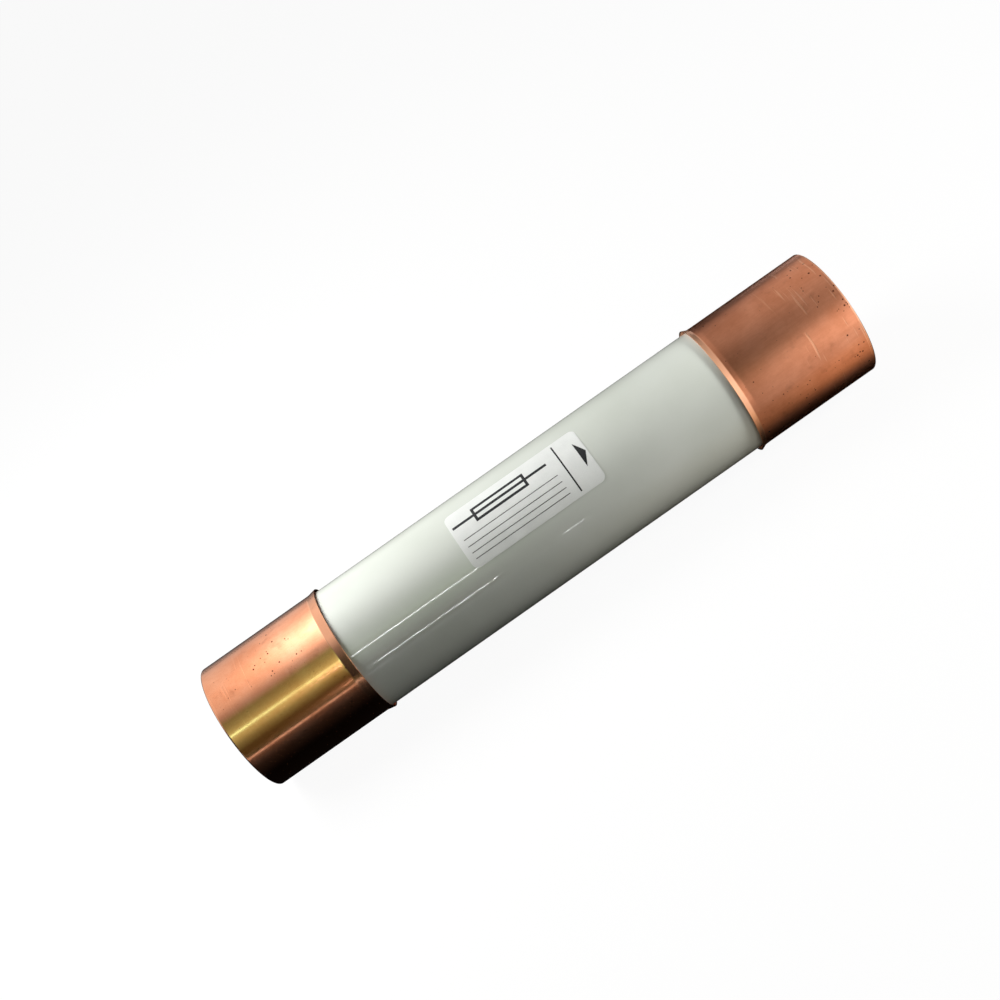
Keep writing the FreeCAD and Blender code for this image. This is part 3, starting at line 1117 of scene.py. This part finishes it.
# Ramp stops for bands of light between two places; "top" is the level that the
# ramp's full white stands for.
def lightStops(bands, first, last, top=1.0):
    stops = []
    for place, level, *tint in bands:
        colour = [part * level / top for part in linear(tint[0] if tint else "#ffffff")[:3]]
        stops.append(((place - first) / (last - first), (*colour, 1.0)))
    return stops


# An empty material for a light, with its tree.
def startLight(name):
    material = bpy.data.materials.new(name)
    material.use_nodes = True
    tree = material.node_tree
    tree.nodes.remove(tree.nodes["Principled BSDF"])
    return material, tree


def makeTent():
    t = tent
    deselectAll()
    bpy.ops.mesh.primitive_cylinder_add(
        vertices=t["sides"], radius=t["radius"], depth=2 * t["halfLength"], end_fill_type="NGON"
    )
    board = bpy.context.object
    board.name = "studioTent"
    board.data.transform(Matrix.Rotation(math.radians(90), 4, "Y"))
    bpy.ops.object.mode_set(mode="EDIT")
    bpy.ops.mesh.select_all(action="SELECT")
    foot = (0, 0, restZ + t["floorGap"])
    bpy.ops.mesh.bisect(plane_co=foot, plane_no=(0, 0, 1), clear_inner=True)
    bpy.ops.object.mode_set(mode="OBJECT")
    material, tree = startLight("tentBoards")
    material.cycles.emission_sampling = "NONE"
    place = addNode(tree, "ShaderNodeTexCoord").outputs["Object"]
    parts = addNode(tree, "ShaderNodeSeparateXYZ", links={"Vector": place})
    front = addNode(
        tree, "ShaderNodeMath", {"operation": "MULTIPLY", 1: -1.0}, {0: parts.outputs["Y"]}
    )
    elevation = addNode(
        tree,
        "ShaderNodeMath",
        {"operation": "ARCTAN2"},
        {0: parts.outputs["Z"], 1: front.outputs["Value"]},
    )
    height = addNode(
        tree,
        "ShaderNodeMapRange",
        {
            "From Min": math.radians(t["fromElevation"]),
            "From Max": math.radians(t["toElevation"]),
        },
        {"Value": elevation.outputs["Value"]},
    )
    columns = []
    for bands in t["columns"].values():
        stops = lightStops(bands, t["fromElevation"], t["toElevation"], t["topLevel"])
        links = {"Fac": height.outputs["Result"]}
        column = addNode(tree, "ShaderNodeValToRGB", links=links, stops=stops)
        columns.append(column.outputs["Color"])
    colour = columns[0]
    for column, (start, end) in zip(columns[1:], t["fades"]):
        colour = fadeAlong(tree, parts, start, end, colour, column)
    away = addNode(tree, "ShaderNodeMath", {"operation": "ABSOLUTE"}, {0: parts.outputs["X"]})
    sides = []
    for along in (t["plainAlong"], t["strikerAlong"]):
        stops = greyStops(*[(x, share / t["topShare"]) for x, share in along])
        links = {"Fac": away.outputs["Value"]}
        side = addNode(tree, "ShaderNodeValToRGB", links=links, stops=stops)
        sides.append(side.outputs["Color"])
    shares = fadeAlong(tree, parts, *t["sideFade"], *sides)
    level = addNode(
        tree,
        "ShaderNodeMath",
        {"operation": "MULTIPLY", 1: t["topShare"] * t["topLevel"]},
        {0: shares},
    )
    light = addNode(
        tree,
        "ShaderNodeEmission",
        links={"Color": colour, "Strength": level.outputs["Value"]},
    )
    showSurface(tree, light.outputs["Emission"])
    board.data.materials.append(material)
    onlyMirrored(board)


# Narrow lamp tubes that the glaze and the metal show as streaks, as
# (elevation, width in degrees, from x, to x, distance, level, colour).
tubes = {
    "upperTube": (31.5, 0.8, -0.256, -0.075, 0.97, 29.0, "#ffffff"),
    "lowerTube": (0.8, 0.7, -0.235, -0.072, 0.97, 29.0, "#ffffff"),
    "shortTube": (-2.4, 0.8, 0.008, 0.026, 0.4, 17.0, "#ffffff"),
    "capTube": (37.5, 3.0, -0.5, -0.3, 0.97, 3.4, "#baffd0"),
    "capTubeNear": (36.5, 4.5, -0.3, -0.266, 0.97, 3.6, "#d0ffd0"),
}
# The window that makes the broad soft highlight at the plain end, on the
# copper near its rim and on the glaze.
window = {
    "elevation": 111.0,
    "distance": 0.76,
    "width": 0.34,
    "height": 1.4,
    "middleX": -0.212,
    "level": 4.0,
}
# The table as the metal mirrors it: (Y in metres, level, tint), with the front
# at -Y, for the plain end, where a dark cloth lies, and for the striker end.
# "Brighter" is (from, to, share before, share after) along the striker's side.
table = {
    "fromY": -1.0,
    "toY": 0.995,
    "fromX": -1.0,
    "toX": 0.27,
    "lift": 0.00004,
    "rampFrom": -1.0,
    "rampTo": 1.0,
    "plainEnd": [
        (-0.6, 0.22, "#e4ffb4"), (-0.29, 0.12, "#e4ffb4"), (-0.28, 3.4), (-0.25, 3.4),
        (-0.235, 0.34, "#fff0e0"), (-0.138, 0.16), (-0.094, 0.05), (-0.05, 0.003),
        (0.1, 0.02), (0.3, 0.6),
    ],
    "strikerEnd": [
        (-0.9, 1.0), (-0.27, 1.0), (-0.14, 0.94), (-0.094, 0.9, "#fff0dc"),
        (-0.057, 0.7, "#ffe8cc"), (-0.045, 0.36, "#ffe0bc"), (-0.037, 0.08), (-0.03, 0.0),
    ],
    "sideFade": (-0.02, 0.14),
    "askewSlope": -1.53,
    "askewStart": 0.96,
    "brighter": (0.122, 0.152, 0.5, 1.06),
}


# A material of one even light.
def plainLight(name, colour, level):
    material, tree = startLight(name)
    light = addNode(tree, "ShaderNodeEmission", {"Color": linear(colour), "Strength": level})
    showSurface(tree, light.outputs["Emission"])
    return material


# A plate of the tent, facing the fuse's axis from one elevation.
def tentPlate(name, elevation, middleX, length, width, distance):
    deselectAll()
    bpy.ops.mesh.primitive_plane_add(size=1, location=(middleX, 0, distance))
    plate = bpy.context.object
    plate.name = name
    plate.scale = (length, width, 1)
    bpy.ops.object.transform_apply(location=True, rotation=False, scale=True)
    plate.data.transform(Matrix.Rotation(math.radians(90 - elevation), 4, "X"))
    onlyMirrored(plate)
    return plate


def makeTubes():
    for name, (elevation, width, fromX, toX, distance, level, colour) in tubes.items():
        across = math.radians(width) * distance
        tube = tentPlate(name, elevation, (fromX + toX) / 2, toX - fromX, across, distance)
        tube.data.materials.append(plainLight(name + "Light", colour, level))


# The window fades out towards its edges; UV runs from 0 to 1 across it.
def makeWindow():
    w = window
    places = (w["elevation"], w["middleX"], w["width"], w["height"], w["distance"])
    plate = tentPlate("softWindow", *places)
    material, tree = startLight("windowLight")
    across = addNode(tree, "ShaderNodeTexCoord").outputs["UV"]
    centred = addNode(
        tree,
        "ShaderNodeMapping",
        {"Location": (-1.0, -1.0, 0.0), "Scale": (2.0, 2.0, 1.0)},
        {"Vector": across},
    )
    roundFade = addNode(
        tree,
        "ShaderNodeTexGradient",
        {"gradient_type": "QUADRATIC_SPHERE"},
        {"Vector": centred.outputs["Vector"]},
    )
    light = addNode(tree, "ShaderNodeEmission", {"Strength": w["level"]})
    clear = addNode(tree, "ShaderNodeBsdfTransparent")
    mixed = addNode(
        tree,
        "ShaderNodeMixShader",
        links={
            0: roundFade.outputs["Fac"],
            1: clear.outputs["BSDF"],
            2: light.outputs["Emission"],
        },
    )
    showSurface(tree, mixed.outputs["Shader"])
    plate.data.materials.append(material)


# Seen from above, and by scattered light too, so that the table throws little
# light up at the plain end; from below it isn't there.
def makeTable():
    c = table
    deselectAll()
    middle = ((c["fromX"] + c["toX"]) / 2, (c["fromY"] + c["toY"]) / 2, restZ + c["lift"])
    bpy.ops.mesh.primitive_plane_add(size=1, location=middle)
    cloth = bpy.context.object
    cloth.name = "tableTop"
    cloth.scale = (c["toX"] - c["fromX"], c["toY"] - c["fromY"], 1)
    bpy.ops.object.transform_apply(location=True, rotation=False, scale=True)
    material, tree = startLight("tableLight")
    material.cycles.emission_sampling = "NONE"
    place = addNode(tree, "ShaderNodeTexCoord").outputs["Object"]
    parts = addNode(tree, "ShaderNodeSeparateXYZ", links={"Vector": place})
    depth = addNode(
        tree,
        "ShaderNodeMapRange",
        {"From Min": c["rampFrom"], "From Max": c["rampTo"]},
        {"Value": parts.outputs["Y"]},
    )
    ends = []
    for end in ("plainEnd", "strikerEnd"):
        stops = lightStops(c[end], c["rampFrom"], c["rampTo"])
        links = {"Fac": depth.outputs["Result"]}
        ramp = addNode(tree, "ShaderNodeValToRGB", links=links, stops=stops)
        ends.append(ramp.outputs["Color"])
    colour = fadeAlong(tree, parts, *c["sideFade"], *ends)
    # The striker end's side of the table gets brighter towards its far end,
    # from a line that leaves the fuse askew, as the cap's mirror image does.
    askew = addNode(
        tree,
        "ShaderNodeMath",
        {"operation": "MULTIPLY_ADD", 1: c["askewSlope"], 2: c["askewStart"]},
        {0: parts.outputs["Y"]},
    )
    origin = addNode(
        tree,
        "ShaderNodeMath",
        {"operation": "DIVIDE"},
        {0: parts.outputs["X"], 1: askew.outputs["Value"]},
    )
    start, end, before, after = c["brighter"]
    along = addNode(
        tree,
        "ShaderNodeMapRange",
        {"From Min": start, "From Max": end, "To Min": before, "To Max": after},
        {"Value": origin.outputs["Value"]},
    )
    light = addNode(
        tree,
        "ShaderNodeEmission",
        links={"Color": colour, "Strength": along.outputs["Result"]},
    )
    clear = addNode(tree, "ShaderNodeBsdfTransparent")
    under = addNode(tree, "ShaderNodeNewGeometry").outputs["Backfacing"]
    mixed = addNode(
        tree,
        "ShaderNodeMixShader",
        links={0: under, 1: light.outputs["Emission"], 2: clear.outputs["BSDF"]},
    )
    showSurface(tree, mixed.outputs["Shader"])
    cloth.data.materials.append(material)
    onlyMirrored(cloth)
    cloth.visible_diffuse = True


makeCamera()
makeFloor()
makeWorld()
makeLamps()
makeFlag()
makeTent()
makeTubes()
makeWindow()
makeTable()
print("studio made")

plainCap, strikerCap = makeCaps()
barrel = makeBarrel()
pin = makePin()
label = makeLabel()
labelInk = makePrint()
print("shapes made")

porcelain = glazedPorcelain()
plainCopper = drawnCopper("brightDrawnCopper", brightCopper)
strikerCopper = drawnCopper("satinDrawnCopper", satinCopper)
made = {name: grainyFinish(name, look) for name, look in finishes.items()}
dressPiece(plainCap, plainCopper, "fuse", "plain_end_cap")
dressPiece(strikerCap, strikerCopper, "fuse", "striker_end_cap")
dressPiece(barrel, porcelain, "fuse", "barrel")
dressPiece(pin, made["nickelPlate"], "striker", "striker_pin")
dressPiece(label, made["coatedPaper"], "fuse", "label")
dressPiece(labelInk, made["blackInk"], "fuse", None)
for finish, names in insideNodes.items():
    for name in names:
        dressNode(nodes[name], made[finish])
print("finishes on")

bpy.context.scene.view_settings.view_transform = "Standard"
bpy.context.view_layer.update()
